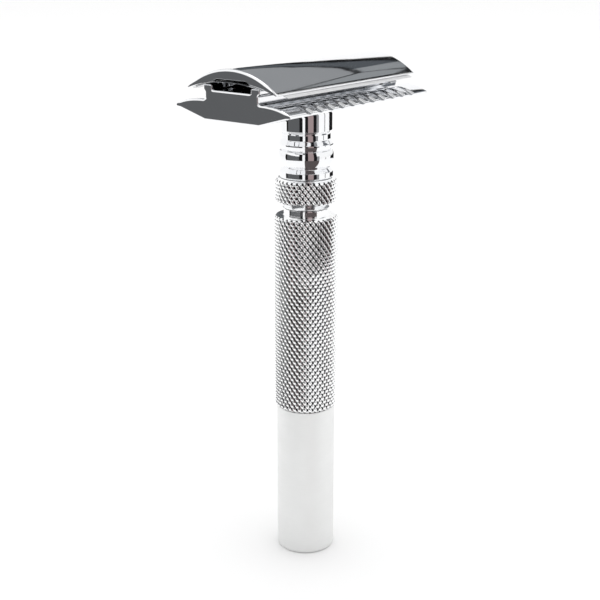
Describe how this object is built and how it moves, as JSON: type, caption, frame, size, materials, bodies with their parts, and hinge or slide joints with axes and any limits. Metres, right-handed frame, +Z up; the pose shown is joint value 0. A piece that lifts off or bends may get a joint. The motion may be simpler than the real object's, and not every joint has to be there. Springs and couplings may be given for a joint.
{
  "type": "safety razor",
  "caption": "Double-edge safety razor with an arched cap over a closed-comb base plate, a ringed neck and a slim knurled handle with a plain lower grip.",
  "frame": {"origin": "centre of the flat end of the handle that the razor stands on", "axes": "+Z up the handle to the head, X along the head's long side, Y across its two blade edges"},
  "size_m": [0.043, 0.026, 0.0985],
  "materials": {
    "chrome": "polished chrome plate",
    "knurled_chrome": "chrome plate over diamond knurling",
    "satin_chrome": "fine satin chrome plate",
    "blade_steel": "rolled stainless strip with ground edges",
    "plain_steel": "plain turned steel",
    "brass": "turned brass"
  },
  "bodies": {
    "handle": {"lower_grip": "satin_chrome", "end_plug": "satin_chrome", "grip_core": "plain_steel", "knurled_grip": "knurled_chrome", "knurled_ring": "knurled_chrome", "neck": "chrome", "thread_bush": "brass"},
    "base": {"base_plate": "chrome"},
    "cap": {"cap": "chrome", "cap_stud": "brass", "locating_pin_left": "chrome", "locating_pin_right": "chrome"},
    "blade": {"blade": "blade_steel"}
  },
  "joints": [
    {"name": "head_turn", "type": "hinge", "parent": "handle", "child": "base", "pos_m": [0, 0, 0.08925], "axis": [0, 0, 1], "range_deg": [0, 1710]},
    {"name": "cap_lift", "type": "slide", "parent": "base", "child": "cap", "axis": [0, 0, 1], "range_m": [0, 0.0038]},
    {"name": "blade_lift", "type": "slide", "parent": "base", "child": "blade", "axis": [0, 0, 1], "range_m": [0, 0.0019]}
  ],
  "couplings": [
    {"joint": "cap_lift", "follows": "head_turn", "m_per_rad": 0.00012732},
    {"joint": "blade_lift", "follows": "head_turn", "m_per_rad": 0.000063661}
  ]
}
